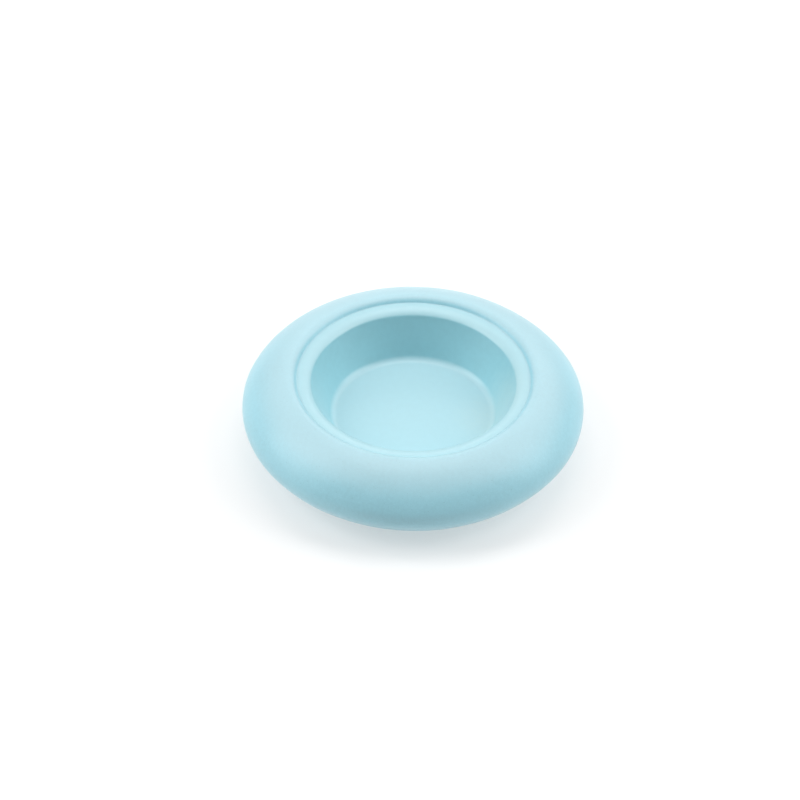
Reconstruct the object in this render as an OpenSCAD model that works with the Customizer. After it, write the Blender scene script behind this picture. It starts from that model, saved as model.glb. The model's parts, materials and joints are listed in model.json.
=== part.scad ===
// Air stone: a porous ring clamped between a shallow dish and a base pan.
// Air enters at the spigot behind, fills the chamber round the dish and leaves through the ring.
// The origin is on the ground under the centre, +Z up, the inlet towards +Y. Millimetres.

/* [Ring] */
// Diameter over the ring
outer_d = 100; // [90:1:130]
// Height of the crown of the ring's section, before its brow is rounded
height = 25.3; // [25:0.1:31]
// Width of the rounded ring seen from above, from its edge in to the dish
ring_w = 16.2; // [14:0.1:19]
// Radius of the ring's outer edge in section
edge_r = 5.4; // [5:0.1:6.6]
// Radius where the top of the ring turns down to the dish
brow_r = 3; // [2:0.1:3.4]
// Thickness of the porous wall
stone_t = 4.5; // [3.6:0.1:4.6]
// Depth of the ledge that carries the dish
ledge_t = 4.5; // [3:0.1:5]

/* [Dish] */
// Height of the dish's floor above the ground
floor_h = 9.9; // [9.5:0.1:12]
// Wall thickness of the dish
dish_t = 2; // [1.6:0.1:2.4]
// Lean of the dish's wall from upright, in degrees
wall_lean = 25.5; // [18:0.5:30]
// Radius of the rolled lip
lip_r = 2.8; // [2.2:0.1:3.4]
// Radius between floor and wall
floor_fillet = 2.8; // [1.5:0.1:4]
// How far the lip's crown lies below the top of the ring
lip_drop = 1.5; // [1.2:0.1:1.9]

/* [Base] */
// Height of the foot under the base
foot_h = 1.5; // [1:0.1:2]
// Thickness of the base plate
base_t = 2.5; // [2.2:0.1:3]
// Width of the foot ring
foot_w = 5; // [3:0.1:6]
// Thickness of the steel ballast
ballast_t = 3.4; // [2.8:0.1:3.6]

/* [Fastenings] */
// Number of base screws
screw_count = 4; // [3:1:6]
// Diameter of the screws' thread
screw_d = 3; // [2.5:0.1:3.5]
// Length of the screws under the head
screw_len = 5.9; // [5.2:0.1:6.1]
// Diameter of the screw heads
head_d = 5.2; // [4.6:0.1:5.6]
// Thickness of the flat gaskets and of the inlet's seal
gasket_t = 0.8; // [0.5:0.1:1]

/* [Inlet] */
// Diameter of the spigot that the airline pushes onto
spigot_d = 4.8; // [4:0.1:5]
// Length of the spigot
spigot_len = 8; // [6:0.5:12]
// Diameter of the air hole through the spigot
airway_d = 2.6; // [1.5:0.1:3]
// Diameter of the spigot's thread
shank_d = 5; // [4.5:0.1:5.4]
// Thickness of the lock nut
nut_t = 2.5; // [2:0.1:3]

/* [Hidden] */
$fn = 96;

aqua = "#b7e0e9";
rubber = "#5d6468";
steel = "#b9bcc0";

slip = 0.1;      // gap round parts that drop into place
room = 0.3;      // gap where nothing should touch
bore_gap = 0.05; // running gap round the spigot's thread
eps = 0.01;      // overlap that makes a cut clean
bite = 0.002;    // how far curves that run into each other cross, so that they meet at a point

// The ring's section is an oval of two arcs. It clears the ground a little, the foot carries it.
outer_r = outer_d / 2;
seat_r = outer_r - ring_w + slip;
oval_lift = 0.9;
oval_r = seat_r - 1.4;
oval_w = outer_r - oval_r;
oval_h = (height - oval_lift) / 2;
oval_z = oval_lift + oval_h;
crown_r = (oval_w ^ 2 + oval_h ^ 2 - 2 * oval_w * edge_r) / (2 * (oval_h - edge_r));
crown_drop = crown_r - oval_h;
crown_span = (oval_w - edge_r) / (crown_r - edge_r);
crown_mid = [oval_r, oval_z - crown_drop];
brow_share = 0.8; // part of the brow's radius that lies inside its crown
brow_x = seat_r + brow_share * brow_r;
brow_mid = [brow_x, crown_mid.y + sqrt((crown_r - brow_r) ^ 2 - (brow_x - oval_r) ^ 2)];
brow_n = (brow_mid - crown_mid) / (crown_r - brow_r);

// Levels
base_top = foot_h + base_t;
lip_top = height - lip_drop;
dish_bottom = floor_h - dish_t;
flange_t = 3.8;
flange_z = lip_top - flange_t;
ledge_z = flange_z - gasket_t;

// The dish's wall leans out from the floor's fillet and runs into the lip
wall_n = [-cos(wall_lean), sin(wall_lean)];
rim_r = seat_r - slip;
lip_share = 0.535; // part of the lip's radius that lies outside its crown
lip_mid = [rim_r - lip_share * lip_r, lip_top - lip_r];
wall_top = lip_mid + (lip_r - bite) * wall_n;
fillet_lift = floor_fillet - bite;
fillet_z = floor_h + fillet_lift;
fillet_x = wall_top.x + (wall_n.y * (fillet_z - wall_top.y) - fillet_lift) / cos(wall_lean);
fillet_mid = [fillet_x, fillet_z];
wall_foot = fillet_mid - fillet_lift * wall_n;
ledge_r = wall_back(flange_z) + room;
ledge_web = 3;

// Base
leg_r = seat_r + 1.6;
rim_t = 1.4;
rim_h = 2.5;
groove_in = leg_r + 1;
groove_out = leg_r + 4;
reveal = 0.2;
foot_mid_r = oval_r - 2;
foot_recess = 1;

// Screws stand in bosses under the dish's floor
screw_r = fillet_mid.x - 7;
boss_r = screw_d / 2 + 2.1;
pad_r = boss_r + 0.6;
pad_h = 1;
head_h = 1.2;
head_sink = 0.1;
screw_seal_t = 0.5;
head_z = foot_h + head_sink + head_h;
counterbore_r = head_d / 2 + room;
ballast_r = fillet_mid.x + 1.8;
rib_r = ballast_r - 3;
rib_w = 1.5;

// Inlet
port_r = shank_d / 2 + 1.9;
port_z = base_top + port_r - 0.6;
port_in = leg_r - 3;
port_out = outer_r - 3;
seal_w = 1;
saddle_t = 0.6;
hex_w = shank_d + 2.6;
hex_t = 1.6;
nut_w = shank_d + 2;
shank_tail = 0.6;
tip_chamfer = 0.5;

// Radius of the back of the dish's wall at a height
function wall_back(z) = wall_top.x - dish_t * wall_n.x
    + (z - wall_top.y + dish_t * wall_n.y) * tan(wall_lean);

// What is cut off to round a corner that opens between directions a and b
module corner_cut(mid, r, a, b) {
    difference() {
        polygon([mid, mid + 2 * r * a, mid + 2 * r * (a + b), mid + 2 * r * b]);
        translate(mid) circle(r + bite);
    }
}

// Outer half of the oval, drawn smaller all round by inset
module oval(inset = 0) {
    intersection() {
        translate(crown_mid) circle(crown_r - inset - bite);
        translate([oval_r, oval_z + crown_drop]) circle(crown_r - inset - bite);
        square([oval_r + (crown_r - inset) * crown_span, height]);
    }
    translate([outer_r - edge_r, oval_z]) circle(edge_r - inset);
}

// Solid section of the porous ring, before the port is cut
module stone_section() {
    difference() {
        intersection() {
            oval();
            translate([ledge_r, base_top]) square([outer_r, height]);
        }
        // seat of the dish, with the brow rounded above it
        translate([0, ledge_z]) square([seat_r, height]);
        corner_cut(brow_mid, brow_r, [-1, 0], brow_n);
        // air chamber, kept off the ledge
        difference() {
            oval(stone_t);
            translate([0, ledge_z - ledge_t]) square([seat_r + ledge_web, height]);
        }
        square([ledge_r + ledge_web, ledge_z - ledge_t]);
        square([leg_r, oval_z]);
    }
}

// Body along +Y with a round top and straight sides down to z_low
module port_shape(r, y0, y1, z_low) {
    translate([0, y1, port_z]) rotate([90, 0, 0]) cylinder(h = y1 - y0, r = r);
    translate([-r, y0, z_low]) cube([2 * r, y1 - y0, port_z - z_low]);
}

// Cylinder along +Y on the port's axis
module port_cylinder(r, y0, y1, sides = $fn) {
    translate([0, y1, port_z]) rotate([90, 0, 0]) cylinder(h = y1 - y0, r = r, $fn = sides);
}

module at_screws() {
    for (i = [0 : screw_count - 1])
        rotate(45 + i * 360 / screw_count) translate([screw_r, 0, 0]) children();
}

module flat_ring(r_in, r_out, z, h) {
    translate([0, 0, z]) difference() {
        cylinder(h = h, r = r_out);
        translate([0, 0, -1]) cylinder(h = h + 2, r = r_in);
    }
}

module stone_ring() {
    color(aqua) difference() {
        rotate_extrude() stone_section();
        port_shape(port_r + saddle_t, leg_r - 6, outer_r + 5, base_top - 1);
    }
}

// Space inside the dish
module dish_hollow() {
    difference() {
        polygon([
            [0, floor_h], [fillet_mid.x, floor_h], wall_foot, wall_top, lip_mid,
            [outer_r, lip_mid.y], [outer_r, height + 1], [0, height + 1]
        ]);
        translate(lip_mid) circle(lip_r);
    }
    translate(fillet_mid) circle(floor_fillet);
}

module dish_section() {
    difference() {
        union() {
            polygon([
                [0, dish_bottom], [fillet_mid.x, dish_bottom],
                wall_foot - dish_t * wall_n, [wall_back(flange_z), flange_z],
                [rim_r, flange_z], [rim_r, height], [0, height]
            ]);
            translate(fillet_mid) circle(floor_fillet + dish_t);
        }
        dish_hollow();
    }
}

module dish() {
    boss_z = base_top + pad_h;
    color(aqua) difference() {
        union() {
            rotate_extrude() dish_section();
            flat_ring(rib_r - rib_w, rib_r, base_top + ballast_t, dish_bottom - base_top - ballast_t + eps);
            at_screws() translate([0, 0, boss_z]) cylinder(h = dish_bottom - boss_z + eps, r = boss_r);
        }
        at_screws() translate([0, 0, boss_z - 1])
            cylinder(h = head_z + screw_len + room - boss_z + 1, r = screw_d / 2);
    }
}

module dish_gasket() {
    color(rubber) flat_ring(ledge_r + slip, seat_r - slip, ledge_z, gasket_t);
}

module base() {
    color(aqua) difference() {
        union() {
            rotate_extrude() difference() {
                union() {
                    intersection() {
                        oval(reveal);
                        translate([0, foot_h]) square([outer_r, base_t]);
                    }
                    translate([0, foot_h]) square([oval_r, base_t]);
                    translate([leg_r - room - rim_t, base_top - eps]) square([rim_t, rim_h]);
                }
                translate([groove_in, base_top - gasket_t]) square([groove_out - groove_in, 2]);
                translate([foot_mid_r - foot_w / 2, 0]) square([foot_w, foot_h + foot_recess]);
            }
            at_screws() translate([0, 0, base_top - eps]) cylinder(h = pad_h + eps, r = pad_r);
            port_shape(port_r, port_in, port_out, base_top - 1);
        }
        at_screws() {
            translate([0, 0, -1]) cylinder(h = head_z + screw_seal_t + 1, r = counterbore_r);
            cylinder(h = height, r = screw_d / 2 + 0.2);
        }
        port_cylinder(shank_d / 2 + bore_gap, port_in - 1, port_out + 1);
        port_cylinder(shank_d / 2 + bore_gap + seal_w, port_out - gasket_t, port_out + 1);
    }
}

// Flat ring in the base's groove, with a saddle over the port
module base_gasket() {
    color(rubber) {
        difference() {
            flat_ring(groove_in, groove_out, base_top - gasket_t, gasket_t);
            translate([-port_r, 0, 0]) cube([2 * port_r, outer_r, height]);
        }
        intersection() {
            difference() {
                port_shape(port_r + saddle_t, leg_r, port_out, base_top);
                port_shape(port_r, leg_r - 1, port_out + 1, base_top - 1);
            }
            rotate_extrude() intersection() {
                stone_section();
                oval(reveal);
            }
        }
    }
}

module ballast_disc() {
    color(steel) difference() {
        translate([0, 0, base_top]) cylinder(h = ballast_t, r = ballast_r);
        at_screws() cylinder(h = height, r = pad_r + room);
    }
}

module inlet_spigot() {
    tip_y = port_out + hex_t + spigot_len;
    color(aqua) difference() {
        union() {
            port_cylinder(shank_d / 2, port_in - nut_t - shank_tail, port_out + eps);
            port_cylinder(hex_w / sqrt(3), port_out, port_out + hex_t, 6);
            port_cylinder(spigot_d / 2, port_out + hex_t - eps, tip_y - tip_chamfer);
            translate([0, tip_y - tip_chamfer - eps, port_z]) rotate([-90, 0, 0])
                cylinder(h = tip_chamfer + eps, r1 = spigot_d / 2, r2 = spigot_d / 2 - tip_chamfer);
        }
        port_cylinder(airway_d / 2, 0, tip_y + 1);
    }
}

module spigot_seal() {
    color(rubber) difference() {
        port_cylinder(shank_d / 2 + bore_gap + seal_w, port_out - gasket_t, port_out);
        port_cylinder(shank_d / 2, 0, outer_r);
    }
}

module lock_nut() {
    color(steel) difference() {
        port_cylinder(nut_w / sqrt(3), port_in - nut_t, port_in, 6);
        port_cylinder(shank_d / 2, 0, outer_r);
    }
}

module base_screws() {
    slot_w = 0.7;
    slot_len = 2.8;
    slot_depth = 0.7;
    color(steel) at_screws() difference() {
        union() {
            translate([0, 0, head_z - head_h]) cylinder(h = head_h, r = head_d / 2);
            translate([0, 0, head_z - eps]) cylinder(h = screw_len + eps, r = screw_d / 2);
        }
        for (turn = [0, 90])
            rotate(turn) translate([-slot_len / 2, -slot_w / 2, 0])
                cube([slot_len, slot_w, head_z - head_h + slot_depth]);
    }
}

module screw_seals() {
    color(rubber) at_screws() flat_ring(screw_d / 2, head_d / 2, head_z, screw_seal_t);
}

module foot_ring() {
    color(rubber) flat_ring(foot_mid_r - foot_w / 2, foot_mid_r + foot_w / 2, 0, foot_h + foot_recess);
}

stone_ring();
dish();
dish_gasket();
base();
base_gasket();
ballast_disc();
inlet_spigot();
spigot_seal();
lock_nut();
base_screws();
screw_seals();
foot_ring();
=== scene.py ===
import json
from math import atan2, cos, degrees, hypot, pi, radians, sin, sqrt, tan

import bmesh
import bpy
from mathutils import Matrix, Vector, noise


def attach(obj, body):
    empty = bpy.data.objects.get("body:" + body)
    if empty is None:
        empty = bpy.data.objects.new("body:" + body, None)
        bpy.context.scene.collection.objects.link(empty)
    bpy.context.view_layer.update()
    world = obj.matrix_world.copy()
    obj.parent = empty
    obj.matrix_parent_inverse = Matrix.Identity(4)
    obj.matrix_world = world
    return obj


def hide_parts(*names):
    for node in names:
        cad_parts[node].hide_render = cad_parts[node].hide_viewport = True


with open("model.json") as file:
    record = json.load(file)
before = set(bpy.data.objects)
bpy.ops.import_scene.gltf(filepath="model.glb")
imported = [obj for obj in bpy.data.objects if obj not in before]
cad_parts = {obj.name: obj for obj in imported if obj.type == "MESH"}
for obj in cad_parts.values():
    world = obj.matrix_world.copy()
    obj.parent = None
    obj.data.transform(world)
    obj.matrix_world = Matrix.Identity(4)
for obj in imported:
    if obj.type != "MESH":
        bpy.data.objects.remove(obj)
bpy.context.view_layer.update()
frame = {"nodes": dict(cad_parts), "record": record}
nodes = frame["nodes"]
mm = 0.001

# The camera looks down at the front of the dish, from a metre off through a long lens.
cameraSetup = dict(elevation=41.8, roll=0.78, distance=1.0, lens=154.6, aim=(-3.84, -4.3, 18.9))


def placeCamera():
    camera = bpy.data.objects.new("camera", bpy.data.cameras.new("camera"))
    bpy.context.scene.collection.objects.link(camera)
    camera.data.lens = cameraSetup["lens"]
    camera.data.clip_start = 0.01
    tilt = radians(cameraSetup["elevation"])
    aim = Vector(cameraSetup["aim"]) * mm
    turn = Matrix.Rotation(pi / 2 - tilt, 4, "X") @ Matrix.Rotation(radians(cameraSetup["roll"]), 4, "Z")
    back = Vector((0, -cos(tilt), sin(tilt))) * cameraSetup["distance"]
    camera.matrix_world = Matrix.Translation(aim + back) @ turn
    bpy.context.scene.camera = camera


placeCamera()
print("camera placed")


# Shader building. A Wire is one socket, and sums on it add the Math nodes.
class Wire:
    def __init__(self, finish, socket):
        self.finish = finish
        self.socket = socket

    def math(self, operation, first, second):
        return self.finish.node("ShaderNodeMath", {"operation": operation}, {0: first, 1: second})

    def __add__(self, other):
        return self.math("ADD", self, other)

    def __radd__(self, other):
        return self.math("ADD", other, self)

    def __sub__(self, other):
        return self.math("SUBTRACT", self, other)

    def __rsub__(self, other):
        return self.math("SUBTRACT", other, self)

    def __mul__(self, other):
        return self.math("MULTIPLY", self, other)

    def __rmul__(self, other):
        return self.math("MULTIPLY", other, self)


class Finish:
    def __init__(self, name):
        self.material = bpy.data.materials.new(name)
        self.material.use_nodes = True
        self.tree = self.material.node_tree
        self.shader = self.tree.nodes["Principled BSDF"]

    def node(self, kind, settings, sockets, out=0):
        made = self.tree.nodes.new(kind)
        for name, value in settings.items():
            setattr(made, name, value)
        for name, value in sockets.items():
            self.feed(made.inputs[name], value)
        return Wire(self, made.outputs[out])

    def feed(self, socket, value):
        if isinstance(value, Wire):
            self.tree.links.new(value.socket, socket)
        else:
            socket.default_value = value

    def surface(self, **values):
        for name, value in values.items():
            self.feed(self.shader.inputs[name.replace("_", " ")], value)

    # Place on the object in millimetres
    def place(self):
        point = self.node("ShaderNodeTexCoord", {}, {}, "Object")
        return self.node("ShaderNodeVectorMath", {"operation": "SCALE"}, {0: point, "Scale": 1 / mm})

    def cloud(self, place, perMm, detail=2, rough=0.5):
        sockets = {"Vector": place, "Scale": perMm, "Detail": detail, "Roughness": rough}
        return self.node("ShaderNodeTexNoise", {}, sockets, "Fac")

    def cells(self, place, perMm):
        sockets = {"Vector": place, "Scale": perMm}
        return self.node("ShaderNodeTexVoronoi", {"feature": "F1"}, sockets, "Distance")

    # How far the surface looks up, for a paler tone painted on upward faces as painted sheen from the light above
    def facingUp(self, low):
        normal = self.node("ShaderNodeTexCoord", {}, {}, "Normal")
        return self.spread(self.node("ShaderNodeSeparateXYZ", {}, {0: normal}, "Z"), low, 0.97)

    # A value spread between two levels: 0 below low and 1 above high
    def spread(self, value, low, high, floor=0, top=1):
        sockets = {"Value": value, "From Min": low, "From Max": high, "To Min": floor, "To Max": top}
        return self.node("ShaderNodeMapRange", {"interpolation_type": "SMOOTHSTEP"}, sockets)

    def mix(self, amount, first, second):
        return self.node("ShaderNodeMix", {"data_type": "RGBA"}, {0: amount, 6: first, 7: second}, 2)

    def bump(self, height, depth):
        return self.node("ShaderNodeBump", {}, {"Height": height, "Strength": 1, "Distance": depth * mm})


def shade(colour, amount):
    return tuple(part * amount for part in colour[:3]) + (1,)


# Unglazed porous ceramic: fine grain, open pores with painted shade in them, a faint cloudiness, and a paler tone
# on top that is painted sheen from the light above
ceramic = dict(
    colour=(0.325, 0.632, 0.728, 1), paintedSheen=(0.49, 0.595, 0.625, 1), paintedSheenAmount=0.4, paintedSheenFrom=0.63,
    cloudPerMm=0.05, mottlePerMm=0.9, grainPerMm=3.2, porePerMm=1.25, poreSizePerMm=0.6, poreShade=0.35,
    rough=0.46, roughGrain=0.16, roughPore=0.2, bumpDeep=0.035, coat=0.5, coatRough=0.36, sheen=0.34,
    sheenRough=0.4,
)


def porousCeramic():
    finish = Finish("porousCeramic")
    place = finish.place()
    colour = ceramic["colour"]
    cloud = finish.cloud(place, ceramic["cloudPerMm"], 3)
    mottle = finish.cloud(place, ceramic["mottlePerMm"], 4, 0.6)
    grain = finish.cloud(place, ceramic["grainPerMm"], 3, 0.6)
    poreSize = finish.cloud(place, ceramic["poreSizePerMm"], 1)
    poreDistance = finish.cells(place, ceramic["porePerMm"])
    pore = finish.spread(poreDistance + finish.spread(poreSize, 0.42, 0.66, 0.22, 0), 0.1, 0.2, 1, 0)
    tint = finish.mix(finish.spread(cloud, 0.35, 0.65), shade(colour, 0.97), shade(colour, 1.03))
    tint = finish.mix(finish.spread(mottle, 0.3, 0.7, 0, 0.45), tint, shade(colour, 1.12))
    tint = finish.mix(finish.spread(grain, 0.35, 0.8, 0.25, 0), tint, shade(colour, 0.8))
    # Pores darkened in colour: painted shade inside the pits
    tint = finish.mix(pore * ceramic["poreShade"], tint, shade(colour, 0.55))
    # Upward faces paled towards a grey tone: painted sheen from the light above
    tint = finish.mix(finish.facingUp(ceramic["paintedSheenFrom"]) * ceramic["paintedSheenAmount"], tint, ceramic["paintedSheen"])
    height = grain * 0.35 + mottle * 0.4 - pore * 0.9
    finish.surface(
        Base_Color=tint, Roughness=ceramic["rough"] + ceramic["roughGrain"] * grain + ceramic["roughPore"] * pore,
        Normal=finish.bump(height, ceramic["bumpDeep"]), Coat_Weight=ceramic["coat"],
        Coat_Roughness=ceramic["coatRough"], Sheen_Weight=ceramic["sheen"], Sheen_Roughness=ceramic["sheenRough"],
    )
    return finish.material


# Smooth satin moulding, with a paler tone on top that is painted sheen from the light above, and a faint pale grey
# patch on the right of the floor that runs up the right wall, where it is painted light
satin = dict(
    colour=(0.30, 0.60, 0.675, 1), paintedSheen=(0.50, 0.67, 0.72, 1), paintedSheenAmount=0.45, paintedSheenFrom=0.48,
    palePatchTone=(0.46, 0.62, 0.62, 1), palePatchAt=(24, -3, 15), palePatchR=14.5, palePatchWander=9,
    mottlePerMm=0.5, grainPerMm=4, scuffPerMm=1.7, rough=0.4, roughScuff=0.12, roughPalePatch=0.1, bumpDeep=0.02,
    coat=0.5, coatRough=0.3, sheen=0.22, sheenRough=0.4,
)


def dishSatin():
    finish = Finish("dishSatin")
    place = finish.place()
    colour, palePatchR = satin["colour"], satin["palePatchR"]
    mottle = finish.cloud(place, satin["mottlePerMm"], 4, 0.6)
    grain = finish.cloud(place, satin["grainPerMm"], 2)
    scuff = finish.cloud(place, satin["scuffPerMm"], 4, 0.7)
    # A pale grey, rougher patch on the right of the floor, carried up the right wall; on the wall it is painted
    # light
    ends = {0: place, 1: satin["palePatchAt"]}
    gap = finish.node("ShaderNodeVectorMath", {"operation": "DISTANCE"}, ends, "Value")
    inPalePatch = finish.spread(gap + satin["palePatchWander"] * mottle, palePatchR * 0.55, palePatchR * 1.45, 1, 0)
    tint = finish.mix(finish.spread(mottle, 0.35, 0.65, 0, 0.5), colour, shade(colour, 0.95))
    # Upward faces paled towards a grey tone: painted sheen from the light above
    tint = finish.mix(finish.facingUp(satin["paintedSheenFrom"]) * satin["paintedSheenAmount"], tint, satin["paintedSheen"])
    tint = finish.mix(inPalePatch * finish.spread(scuff, 0.3, 0.7, 0.25, 0.5), tint, satin["palePatchTone"])
    height = grain * 0.25 + mottle * 0.5
    finish.surface(
        Base_Color=tint, Roughness=satin["rough"] + satin["roughScuff"] * scuff + satin["roughPalePatch"] * inPalePatch,
        Normal=finish.bump(height, satin["bumpDeep"]), Coat_Weight=satin["coat"],
        Coat_Roughness=satin["coatRough"], Sheen_Weight=satin["sheen"], Sheen_Roughness=satin["sheenRough"],
    )
    return finish.material


# Moulded plastic with a spark-eroded texture, used below and for the spigot
basePlastic = dict(colour=(0.31, 0.61, 0.69, 1), rough=0.5, texturePerMm=5)
spigotPlastic = dict(colour=(0.66, 0.80, 0.83, 1), rough=0.38, texturePerMm=7)


def mouldedPlastic(name, look):
    finish = Finish(name)
    place = finish.place()
    colour = look["colour"]
    texture = finish.cloud(place, look["texturePerMm"], 2, 0.7)
    flow = finish.cloud(place, 0.08, 3)
    rub = finish.cloud(place, 0.7, 5, 0.75)
    tint = finish.mix(finish.spread(flow, 0.35, 0.65), shade(colour, 0.96), shade(colour, 1.03))
    tint = finish.mix(finish.spread(rub, 0.55, 0.75, 0, 0.35), tint, shade(colour, 1.12))
    finish.surface(Base_Color=tint, Roughness=look["rough"] + 0.15 * rub, Normal=finish.bump(texture, 0.025))
    return finish.material


paleSilicone = dict(colour=(0.52, 0.58, 0.60, 1), rough=0.45, dusty=0.15)
footRubber = dict(colour=(0.055, 0.068, 0.075, 1), rough=0.62, dusty=0.5)


def softRubber(name, look):
    finish = Finish(name)
    place = finish.place()
    colour = look["colour"]
    texture = finish.cloud(place, 2.5, 3, 0.6)
    patch = finish.cloud(place, 0.25, 4, 0.65)
    tint = finish.mix(finish.spread(patch, 0.45, 0.7, 0, look["dusty"]), colour, shade(colour, 1.8))
    finish.surface(Base_Color=tint, Roughness=look["rough"] + 0.12 * patch, Normal=finish.bump(texture, 0.02))
    return finish.material


steel = dict(dark=(0.52, 0.52, 0.51, 1), light=(0.66, 0.66, 0.65, 1), rough=0.24, brushing=(9, 0.35, 9))


def stainlessSteel():
    finish = Finish("stainlessSteel")
    place = finish.place()
    stretch = finish.node("ShaderNodeVectorMath", {"operation": "MULTIPLY"}, {0: place, 1: steel["brushing"]})
    brushed = finish.cloud(stretch, 1, 3, 0.6)
    smudge = finish.cloud(place, 0.3, 4, 0.6)
    finish.surface(
        Base_Color=finish.mix(smudge, steel["dark"], steel["light"]), Metallic=1.0,
        Roughness=steel["rough"] + 0.14 * brushed + 0.1 * smudge, Normal=finish.bump(brushed, 0.006),
    )
    return finish.material


# One finish for each material slot
finishes = {
    "porous_ceramic": porousCeramic(),
    "dish_plastic": dishSatin(),
    "base_plastic": mouldedPlastic("basePlastic", basePlastic),
    "spigot_plastic": mouldedPlastic("spigotPlastic", spigotPlastic),
    "silicone": softRubber("paleSilicone", paleSilicone),
    "foot_rubber": softRubber("footRubber", footRubber),
    "stainless": stainlessSteel(),
}
print("finishes made:", len(finishes))


# Outlines are lists of (radius, height) in millimetres, walked round the section.
def arc(mid, radius, start, end, step=0.8):
    count = max(2, round(abs(radians(end - start)) * radius / step))
    turns = [radians(start + (end - start) * i / count) for i in range(count + 1)]
    return [(mid[0] + radius * cos(turn), mid[1] + radius * sin(turn)) for turn in turns]


def line(start, end, step):
    count = max(1, round(hypot(end[0] - start[0], end[1] - start[1]) / step))
    return [
        (start[0] + (end[0] - start[0]) * i / count, start[1] + (end[1] - start[1]) * i / count)
        for i in range(count + 1)
    ]


# Rounds each sharp corner of an outline with a small arc
def softened(outline, radius, sharp=25, steps=3):
    points = [p for i, p in enumerate(outline) if i == 0 or Vector(p) != Vector(outline[i - 1])]
    made = []
    for i, point in enumerate(points):
        here = Vector(point)
        before = Vector(points[i - 1]) - here
        after = Vector(points[(i + 1) % len(points)]) - here
        turn = 180 - degrees(before.angle(after))
        if turn < sharp or point[0] < 1e-6:
            made.append(point)
            continue
        reach = min(radius, 0.45 * before.length, 0.45 * after.length)
        start = here + before.normalized() * reach
        end = here + after.normalized() * reach
        for k in range(steps + 1):
            t = k / steps
            curve = start.lerp(here, t).lerp(here.lerp(end, t), t)
            made.append(tuple(curve))
    return made


sharpAngle = 35  # edges that turn further than this are shaded sharp


def shadeByAngle(piece):
    piece.data.shade_smooth()
    piece.data.set_sharp_from_angle(angle=radians(sharpAngle))


def finishMesh(name, shape, slot):
    mesh = bpy.data.meshes.new(name)
    shape.to_mesh(mesh)
    shape.free()
    mesh.materials.append(finishes[slot])
    piece = bpy.data.objects.new(name, mesh)
    bpy.context.scene.collection.objects.link(piece)
    shadeByAngle(piece)
    return piece


# Turns a closed outline about the upright axis
def revolve(name, outline, slot, steps):
    shape = bmesh.new()
    columns = []
    for radius, height in outline:
        if radius < 1e-6:
            columns.append([shape.verts.new((0, 0, height * mm))] * steps)
            continue
        turns = [2 * pi * i / steps for i in range(steps)]
        columns.append(
            [shape.verts.new((radius * cos(t) * mm, radius * sin(t) * mm, height * mm)) for t in turns]
        )
    for first, second in zip(columns, columns[1:] + columns[:1]):
        for i in range(steps):
            j = (i + 1) % steps
            corners = list(dict.fromkeys((first[i], first[j], second[j], second[i])))
            if len(corners) > 2:
                shape.faces.new(corners)
    bmesh.ops.recalc_face_normals(shape, faces=shape.faces)
    return finishMesh(name, shape, slot)


# Draws a flat outline of (x, z) out along +Y from y0 to y1
def drawnOut(name, outline, y0, y1, slot):
    shape = bmesh.new()
    front = [shape.verts.new((x * mm, y0 * mm, z * mm)) for x, z in outline]
    back = [shape.verts.new((x * mm, y1 * mm, z * mm)) for x, z in outline]
    shape.faces.new(front)
    shape.faces.new(back[::-1])
    for i in range(len(outline)):
        j = (i + 1) % len(outline)
        shape.faces.new((front[i], back[i], back[j], front[j]))
    bmesh.ops.recalc_face_normals(shape, faces=shape.faces)
    return finishMesh(name, shape, slot)


# Applies a boolean with each tool and clears the tools away
def carve(piece, tools, operation="DIFFERENCE"):
    for tool in tools:
        step = piece.modifiers.new("carve", "BOOLEAN")
        step.operation = operation
        step.solver = "EXACT"
        step.object = tool
    bpy.context.view_layer.update()
    depsgraph = bpy.context.evaluated_depsgraph_get()
    mesh = bpy.data.meshes.new_from_object(piece.evaluated_get(depsgraph))
    piece.modifiers.clear()
    piece.data = mesh
    for tool in tools:
        bpy.data.objects.remove(tool)
    shadeByAngle(piece)


def moved(piece, x=0, y=0, z=0, turn=0):
    piece.data.transform(Matrix.Translation(Vector((x, y, z)) * mm) @ Matrix.Rotation(turn, 4, "Z"))
    return piece


# Lays a piece made round the upright axis along +Y, on the port's axis
def onPort(piece):
    piece.data.transform(Matrix.Translation((0, 0, port["z"] * mm)) @ Matrix.Rotation(-pi / 2, 4, "X"))
    return piece


# Presses slow waves (length, depth) into a surface, as hand finishing leaves, that die away at the crease
creaseCalm = 1.5


def waver(piece, waves):
    mesh = piece.data
    shifts = []
    for vertex in mesh.vertices:
        fade = min(1, abs(hypot(vertex.co.x, vertex.co.y) / mm - dish["rimR"]) / creaseCalm)
        lift = fade * sum(depth * noise.noise(vertex.co / (length * mm)) for length, depth in waves)
        shifts.append(vertex.normal * lift * mm)
    for vertex, shift in zip(mesh.vertices, shifts):
        vertex.co += shift
    mesh.update()


def stands(piece, node):
    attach(piece, "root")
    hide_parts(node)


# The ring's section is an oval of a crown arc, an edge arc and a lower crown arc.
oval = dict(outerR=50, midR=32.5, height=24.4, z=13.1, edgeR=5.4)


def ovalArcs(inset):
    halfWidth = oval["outerR"] - oval["midR"]
    halfHeight = oval["height"] / 2
    edgeR = oval["edgeR"]
    crownR = (halfWidth ** 2 + halfHeight ** 2 - 2 * halfWidth * edgeR) / (2 * (halfHeight - edgeR))
    drop = crownR - halfHeight
    joinTurn = degrees(atan2(drop, halfWidth - edgeR))
    return dict(
        crownR=crownR - inset, edgeR=edgeR - inset, joinTurn=joinTurn,
        edgeMid=(oval["outerR"] - edgeR, oval["z"]),
        upperMid=(oval["midR"], oval["z"] - drop),
        lowerMid=(oval["midR"], oval["z"] + drop),
    )


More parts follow.
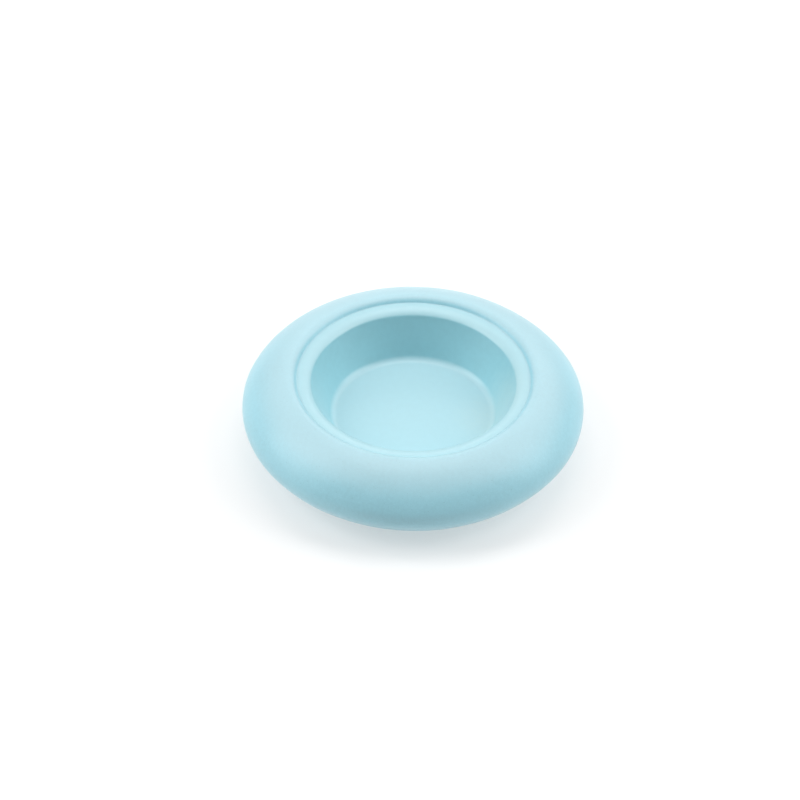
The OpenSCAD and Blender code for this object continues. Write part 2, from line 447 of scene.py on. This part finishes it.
# The angle round an arc where it reaches a height, or a radius
def turnAtHeight(mid, radius, height):
    return degrees(atan2(height - mid[1], sqrt(radius ** 2 - (height - mid[1]) ** 2)))


def turnAtRadius(mid, radius, reach, side):
    return side * degrees(atan2(sqrt(radius ** 2 - (reach - mid[0]) ** 2), reach - mid[0]))


dish = dict(
    floor=9.9, wall=2, lean=25.5, fillet=2.8, wallTop=(29.77, 22.2), lipZ=21.3, lipR=1.5, crownR=6, crownLean=33,
    valleyR=0.5, rimR=33.8, flangeZ=20, ribOut=20.94, ribIn=19.44, ribLow=7.4, screwR=15.14, bossR=3.6, bossLow=5,
    bossSunk=0.6, holeR=1.5, holeTop=9, softEdge=0.1, steps=320, waves=((18, 0.06), (6, 0.02)),
)
port = dict(z=7.8, blockR=4.4, saddle=0.6, inner=32.5, outer=47, boreR=2.55, sealW=1.0, sealDepth=0.8)
ring = dict(
    seatR=33.82, browR=2.4, wall=4.5, ledgeR=31.23, ledgeZ=19.2, ledgeUnder=14.7, chamberR=36.9, legR=35.5,
    bottom=4, softEdge=0.1, steps=320, waves=((14, 0.10), (5, 0.03), (1.6, 0.012)),
)


def portOutline(radius, low):
    top = arc((0, port["z"]), radius, 0, 180, 0.4)
    return top + [(-radius, low), (radius, low)]


# The lip is an edge arc and a crown arc, and a hollow arc shared with the ring makes the crease.
def lipArcs():
    lean, wallTop, lipR = radians(dish["lean"]), dish["wallTop"], dish["lipR"]
    edgeX = wallTop[0] + (dish["lipZ"] - wallTop[1]) * tan(lean) + lipR / cos(lean)
    edgeMid = Vector((edgeX, dish["lipZ"]))
    turn = radians(90 + dish["crownLean"])
    crownMid = edgeMid - Vector((cos(turn), sin(turn))) * (dish["crownR"] - lipR)
    valleyX = (dish["rimR"] + ring["seatR"]) / 2
    reach = dish["crownR"] + dish["valleyR"]
    valleyMid = Vector((valleyX, crownMid.y + sqrt(reach ** 2 - (valleyX - crownMid.x) ** 2)))
    return edgeMid, crownMid, valleyMid


# Where two circles meet, on the right of the line from the first to the second
def meeting(first, firstR, second, secondR):
    gap = second - first
    along = (firstR ** 2 - secondR ** 2 + gap.length ** 2) / (2 * gap.length)
    side = Vector((gap.y, -gap.x)).normalized()
    return first + gap.normalized() * along + side * sqrt(firstR ** 2 - along ** 2)


def bearing(start, end):
    return degrees(atan2(end.y - start.y, end.x - start.x))


def ringOutline():
    outer = ovalArcs(0)
    inner = ovalArcs(ring["wall"])
    crownR, join = outer["crownR"], outer["joinTurn"]
    upper, lower = outer["upperMid"], outer["lowerMid"]
    valleyMid = lipArcs()[2]
    browMid = meeting(Vector(upper), crownR - ring["browR"], valleyMid, ring["browR"] + dish["valleyR"])
    browTurn = bearing(Vector(upper), browMid)
    bottomTurn = turnAtHeight(lower, crownR, ring["bottom"])
    outside = arc(lower, crownR, bottomTurn, -join)
    outside += arc(outer["edgeMid"], outer["edgeR"], -join, join, 0.6)[1:]
    outside += arc(upper, crownR, join, browTurn)[1:]
    outside += arc(browMid, ring["browR"], browTurn, bearing(browMid, valleyMid), 0.2)[1:]
    outside += arc(valleyMid, dish["valleyR"], bearing(valleyMid, browMid), -89.3, 0.12)[1:]
    inside = [(ring["seatR"], ring["ledgeZ"]), (ring["ledgeR"], ring["ledgeZ"])]
    inside += [(ring["ledgeR"], ring["ledgeUnder"]), (ring["chamberR"], ring["ledgeUnder"])]
    startTurn = turnAtRadius(inner["upperMid"], inner["crownR"], ring["chamberR"], 1)
    endTurn = turnAtRadius(inner["lowerMid"], inner["crownR"], ring["legR"], -1)
    inside += arc(inner["upperMid"], inner["crownR"], startTurn, join, 1.2)
    inside += arc(inner["edgeMid"], inner["edgeR"], join, -join, 1.2)[1:]
    inside += arc(inner["lowerMid"], inner["crownR"], -join, endTurn, 1.2)[1:]
    inside += [(ring["legR"], ring["bottom"])]
    return softened(outside + inside, ring["softEdge"])


def buildRing():
    body = revolve("porousRing", ringOutline(), "porous_ceramic", ring["steps"])
    waver(body, ring["waves"])
    # the notch clears the port's block with room for the gasket's saddle
    notch = portOutline(port["blockR"] + port["saddle"], ring["bottom"] - 1)
    carve(body, [drawnOut("notchTool", notch, ring["legR"] - 6, oval["outerR"] + 5, "porous_ceramic")])
    stands(body, "stone_ring")


buildRing()
print("ring built")


def dishOutline():
    lean = dish["lean"]
    normal = Vector((-cos(radians(lean)), sin(radians(lean))))
    along = Vector((sin(radians(lean)), cos(radians(lean))))
    edgeMid, crownMid, valleyMid = lipArcs()
    wallTop = edgeMid + normal * dish["lipR"]
    filletZ = dish["floor"] + dish["fillet"]
    filletX = wallTop.x + (normal.y * (filletZ - wallTop.y) - dish["fillet"]) / cos(radians(lean))
    filletMid = Vector((filletX, filletZ))
    wallFoot = filletMid - normal * dish["fillet"]
    backFoot = wallFoot - normal * dish["wall"]
    backTop = backFoot + along * ((dish["flangeZ"] - backFoot.y) / along.y)
    outline = line((0, dish["floor"]), (filletX, dish["floor"]), 1.5)
    outline += arc(filletMid, dish["fillet"], -90, -lean, 0.35)[1:]
    outline += line(wallFoot, wallTop, 1)[1:]
    outline += arc(edgeMid, dish["lipR"], 180 - lean, 90 + dish["crownLean"], 0.12)[1:]
    outline += arc(crownMid, dish["crownR"], 90 + dish["crownLean"], bearing(crownMid, valleyMid), 0.25)[1:]
    outline += arc(valleyMid, dish["valleyR"], bearing(valleyMid, crownMid) % 360 - 360, -90.6, 0.12)[1:]
    outline += [(dish["rimR"], dish["flangeZ"]), tuple(backTop)]
    outline += line(backTop, backFoot, 2)[1:]
    outline += arc(filletMid, dish["fillet"] + dish["wall"], -lean, -90, 0.8)[1:]
    bottom = dish["floor"] - dish["wall"]
    outline += [(dish["ribOut"], bottom), (dish["ribOut"], dish["ribLow"])]
    outline += [(dish["ribIn"], dish["ribLow"]), (dish["ribIn"], bottom), (0, bottom)]
    return softened(outline, dish["softEdge"])


def post(name, radius, low, high, slot, soft=0.2, steps=48):
    outline = softened([(0, low), (radius, low), (radius, high), (0, high)], soft)
    return revolve(name, outline, slot, steps)


def atScrews(make):
    made = []
    for i in range(4):
        turn = pi / 4 + i * pi / 2
        made.append(moved(make(), dish["screwR"] * cos(turn), dish["screwR"] * sin(turn), 0, turn))
    return made


def buildDish():
    slot = "dish_plastic"
    body = revolve("dishBowl", dishOutline(), slot, dish["steps"])
    waver(body, dish["waves"])
    low, high = dish["bossLow"], dish["floor"] - dish["wall"] + dish["bossSunk"]
    carve(body, atScrews(lambda: post("bossTool", dish["bossR"], low, high, slot)), "UNION")
    carve(body, atScrews(lambda: post("holeTool", dish["holeR"], low - 1, dish["holeTop"], slot)))
    stands(body, "dish")


buildDish()
print("dish built")


base = dict(
    low=1.5, top=4, reveal=0.2, footIn=28, footOut=33, footDeep=1, grooveIn=36.5, grooveOut=39.5,
    grooveDeep=0.8, rimOut=35.2, rimIn=33.8, rimTop=6.5, padR=4.2, padTop=5, counterR=2.9, counterTop=3.3,
    holeR=1.7, gateR=1.7, gateDeep=0.25, softEdge=0.22, steps=256,
)


def baseOutline():
    shell = ovalArcs(base["reveal"])
    low, top = base["low"], base["top"]
    foot, groove = low + base["footDeep"], top - base["grooveDeep"]
    startTurn = turnAtHeight(shell["lowerMid"], shell["crownR"], low)
    endTurn = turnAtHeight(shell["lowerMid"], shell["crownR"], top)
    outline = line((0, low), (base["footIn"], low), 3)
    outline += [(base["footIn"], foot), (base["footOut"], foot), (base["footOut"], low)]
    outline += arc(shell["lowerMid"], shell["crownR"], startTurn, endTurn, 0.4)
    outline += [(base["grooveOut"], top), (base["grooveOut"], groove), (base["grooveIn"], groove)]
    outline += [(base["grooveIn"], top), (base["rimOut"], top), (base["rimOut"], base["rimTop"])]
    outline += [(base["rimIn"], base["rimTop"]), (base["rimIn"], top), (0, top)]
    return softened(outline, base["softEdge"])


def portPost(name, radius, start, end, slot, soft=0.1):
    return onPort(post(name, radius, start, end, slot, soft, 64))


def buildBase():
    slot = "base_plastic"
    body = revolve("basePan", baseOutline(), slot, base["steps"])
    blockOutline = portOutline(port["blockR"], base["top"] - 1)
    block = drawnOut("blockTool", blockOutline, port["inner"], port["outer"], slot)
    pads = atScrews(lambda: post("padTool", base["padR"], base["top"] - 0.5, base["padTop"], slot))
    carve(body, [block] + pads, "UNION")
    # screw holes, the port's bore with its seal seat, and the moulding's gate mark
    cuts = atScrews(lambda: post("counterTool", base["counterR"], 0, base["counterTop"], slot))
    cuts += atScrews(lambda: post("clearTool", base["holeR"], 1, base["padTop"] + 1, slot))
    cuts.append(portPost("boreTool", port["boreR"], port["inner"] - 1, port["outer"] + 1, slot))
    sealR = port["boreR"] + port["sealW"]
    cuts.append(portPost("sealTool", sealR, port["outer"] - port["sealDepth"], port["outer"] + 1, slot))
    cuts.append(post("gateTool", base["gateR"], 0, base["low"] + base["gateDeep"], slot, 0.12))
    carve(body, cuts)
    stands(body, "base")


buildBase()
print("base built")


foot = dict(inner=28, outer=33, top=2.5, soft=0.5, groove=0.28, ribs=96, plainEdge=0.9, steps=384)


# A ring foot whose underside is pressed with fine radial grip ribs
def buildFoot():
    outline = line((foot["inner"], 0), (foot["outer"], 0), 0.6)
    outline += [(foot["outer"], foot["top"]), (foot["inner"], foot["top"])]
    outline = softened(outline, foot["soft"], steps=5)
    body = revolve("footRing", outline, "foot_rubber", foot["steps"])
    for vertex in body.data.vertices:
        radius = hypot(vertex.co.x, vertex.co.y) / mm
        inside = min(radius - foot["inner"], foot["outer"] - radius)
        if vertex.co.z / mm < 0.05 and inside > foot["plainEdge"]:
            turn = atan2(vertex.co.y, vertex.co.x)
            vertex.co.z += foot["groove"] * mm * (0.5 - 0.5 * cos(turn * foot["ribs"])) ** 4
    body.data.update()
    stands(body, "foot_ring")


buildFoot()
print("foot built")


screw = dict(
    headR=2.6, headLow=1.6, headTop=2.8, shankR=1.5, tip=8.7, crossW=0.62, crossL=2.7, crossDeep=0.75,
    crossTaper=0.55, pitch=0.9, threadDeep=0.22, threadStart=2.4, point=0.5, softEdge=0.08, steps=64,
    dome=((0, 0), (1.0, 0.01), (1.7, 0.06), (2.2, 0.2), (2.5, 0.45), (2.6, 0.75)),
)


def crossTool(turn):
    reach, width = screw["crossL"] / 2, screw["crossW"] / 2
    low, high = screw["headLow"] - 0.5, screw["headLow"] + screw["crossDeep"]
    shape = bmesh.new()
    corners = []
    for z, grow in ((low, 1), (high, screw["crossTaper"])):
        for x, y in ((-1, -1), (1, -1), (1, 1), (-1, 1)):
            corners.append(shape.verts.new((x * reach * grow * mm, y * width * mm, z * mm)))
    bmesh.ops.convex_hull(shape, input=corners)
    return moved(finishMesh("crossTool", shape, "stainless"), turn=turn)


# The thread's ridges are rings along the shank
def thread():
    crest, pitch, start, tip = screw["shankR"], screw["pitch"], screw["threadStart"], screw["tip"]
    root = crest - screw["threadDeep"]
    outline = [(crest, screw["headTop"] + start - 0.2)]
    z = screw["headTop"] + start
    while z < tip - 1:
        outline += [(root, z), (crest, z + pitch * 0.35), (root, z + pitch * 0.7)]
        z += pitch
    return outline + [(crest - 0.3, tip - screw["point"]), (0.5, tip)]


def oneScrew():
    outline = [(radius, screw["headLow"] + rise) for radius, rise in screw["dome"]]
    outline += [(screw["headR"], screw["headTop"]), (screw["shankR"], screw["headTop"])]
    outline += thread() + [(0, screw["tip"])]
    body = revolve("baseScrew", softened(outline, screw["softEdge"]), "stainless", screw["steps"])
    carve(body, [crossTool(0), crossTool(pi / 2)])
    return body


def joined(name, pieces, slot):
    shape = bmesh.new()
    for piece in pieces:
        shape.from_mesh(piece.data)
        bpy.data.objects.remove(piece)
    return finishMesh(name, shape, slot)


def buildScrews():
    stands(joined("baseScrews", atScrews(oneScrew), "stainless"), "base_screws")


buildScrews()
print("screws built")


spigot = dict(
    shankR=2.5, shankIn=29.4, hexR=4.388, hexT=1.6, hexChamfer=0.25, chamferDeep=0.6, tubeR=2.4, tip=56.6,
    lead=0.5, airwayR=1.3, root=0.35, softEdge=0.12, steps=96,
)


def spigotOutline(neck, hexEnd):
    tubeR, tip, root, airwayR = spigot["tubeR"], spigot["tip"], spigot["root"], spigot["airwayR"]
    outline = [(airwayR, spigot["shankIn"]), (spigot["shankR"], spigot["shankIn"])]
    outline += [(spigot["shankR"], neck), (tubeR, neck)]
    outline += arc((tubeR + root, hexEnd + root), root, 270, 180, 0.1)
    outline += line((tubeR, hexEnd + 1), (tubeR, tip - spigot["lead"]), 1)
    outline += [(tubeR - spigot["lead"], tip), (airwayR, tip)]
    return softened(outline, spigot["softEdge"])


# The hexagon is turned down to a cone at its corners.
def buildHexagon(face, hexEnd, slot):
    hexR, chamfer = spigot["hexR"], spigot["hexR"] - spigot["hexChamfer"]
    corners = [(hexR * cos(i * pi / 3), hexR * sin(i * pi / 3) + port["z"]) for i in range(6)]
    nut = drawnOut("hexTool", corners, face, hexEnd, slot)
    wide = chamfer + 2 * spigot["chamferDeep"]
    cone = [(0, face - 1), (wide, face - 1), (wide, hexEnd - spigot["chamferDeep"]), (chamfer, hexEnd), (0, hexEnd)]
    carve(nut, [onPort(revolve("coneTool", cone, slot, 64))], "INTERSECT")
    carve(nut, [portPost("airTool", spigot["airwayR"] + 0.5, face - 1, hexEnd + 1, slot)])
    return nut


def buildSpigot():
    slot = "spigot_plastic"
    face, hexEnd = port["outer"], port["outer"] + spigot["hexT"]
    body = onPort(revolve("inletSpigot", spigotOutline(face + 0.4, hexEnd), slot, spigot["steps"]))
    carve(body, [buildHexagon(face, hexEnd, slot)], "UNION")
    stands(body, "inlet_spigot")


buildSpigot()
print("spigot built")


# Hidden pieces and the gaskets keep their CAD shape and get their finish.
def finishCadNodes():
    slots = {row["node"]: row["material_slot"] for row in frame["record"]["subparts"]}
    for name, thing in nodes.items():
        thing.data.materials.clear()
        thing.data.materials.append(finishes[slots[name]])


finishCadNodes()
print("finishes on the CAD pieces")


# Each light is turned round the object from the camera's side, raised, and given its size and watts.
studio = dict(
    floorSize=6, floorColour=(0.5, 0.5, 0.5, 1), floorGlow=0.453, worldLevel=0.02, reach=1.1,
    lights=dict(
        left=(-90, 38, 0.6, 0.95, 8.3),
        right=(90, 38, 0.6, 0.95, 7.4),
        backLeft=(-140, 38, 0.6, 0.7, 1.0),
        backRight=(140, 38, 0.6, 0.7, 2.0),
        back=(180, 24, 0.8, 0.4, 1.8),
        top=(180, 75, 0.8, 0.6, 4.5),
        front=(0, 60, 0.9, 0.5, 1.3),
    ),
)


def softLight(name, around, raised, width, height, watts):
    lamp = bpy.data.lights.new(name, "AREA")
    lamp.shape = "RECTANGLE"
    lamp.size, lamp.size_y = width, height
    lamp.energy = watts
    light = bpy.data.objects.new(name, lamp)
    bpy.context.scene.collection.objects.link(light)
    turn, tilt = radians(around), radians(raised)
    light.location = Vector((cos(tilt) * sin(turn), -cos(tilt) * cos(turn), sin(tilt))) * studio["reach"]
    light.rotation_euler = (Vector((0, 0, 0.01)) - light.location).to_track_quat("-Z", "Y").to_euler()


def layFloor():
    half = studio["floorSize"] / 2
    shape = bmesh.new()
    corners = [shape.verts.new((x * half, y * half, 0)) for x, y in ((-1, -1), (1, -1), (1, 1), (-1, 1))]
    shape.faces.new(corners)
    mesh = bpy.data.meshes.new("studioFloor")
    shape.to_mesh(mesh)
    shape.free()
    paper = Finish("palePaper")
    paper.surface(
        Base_Color=studio["floorColour"], Roughness=0.9, Specular_IOR_Level=0,
        Emission_Color=(1, 1, 1, 1), Emission_Strength=studio["floorGlow"],
    )
    mesh.materials.append(paper.material)
    floor = bpy.data.objects.new("studioFloor", mesh)
    bpy.context.scene.collection.objects.link(floor)


def buildStudio():
    layFloor()
    for name, values in studio["lights"].items():
        softLight(name + "Light", *values)
    world = bpy.data.worlds.new("studioWorld")
    world.use_nodes = True
    background = world.node_tree.nodes["Background"]
    background.inputs["Color"].default_value = (1, 1, 1, 1)
    background.inputs["Strength"].default_value = studio["worldLevel"]
    bpy.context.scene.world = world
    bpy.context.scene.view_settings.view_transform = "Standard"


buildStudio()
print("studio lit")
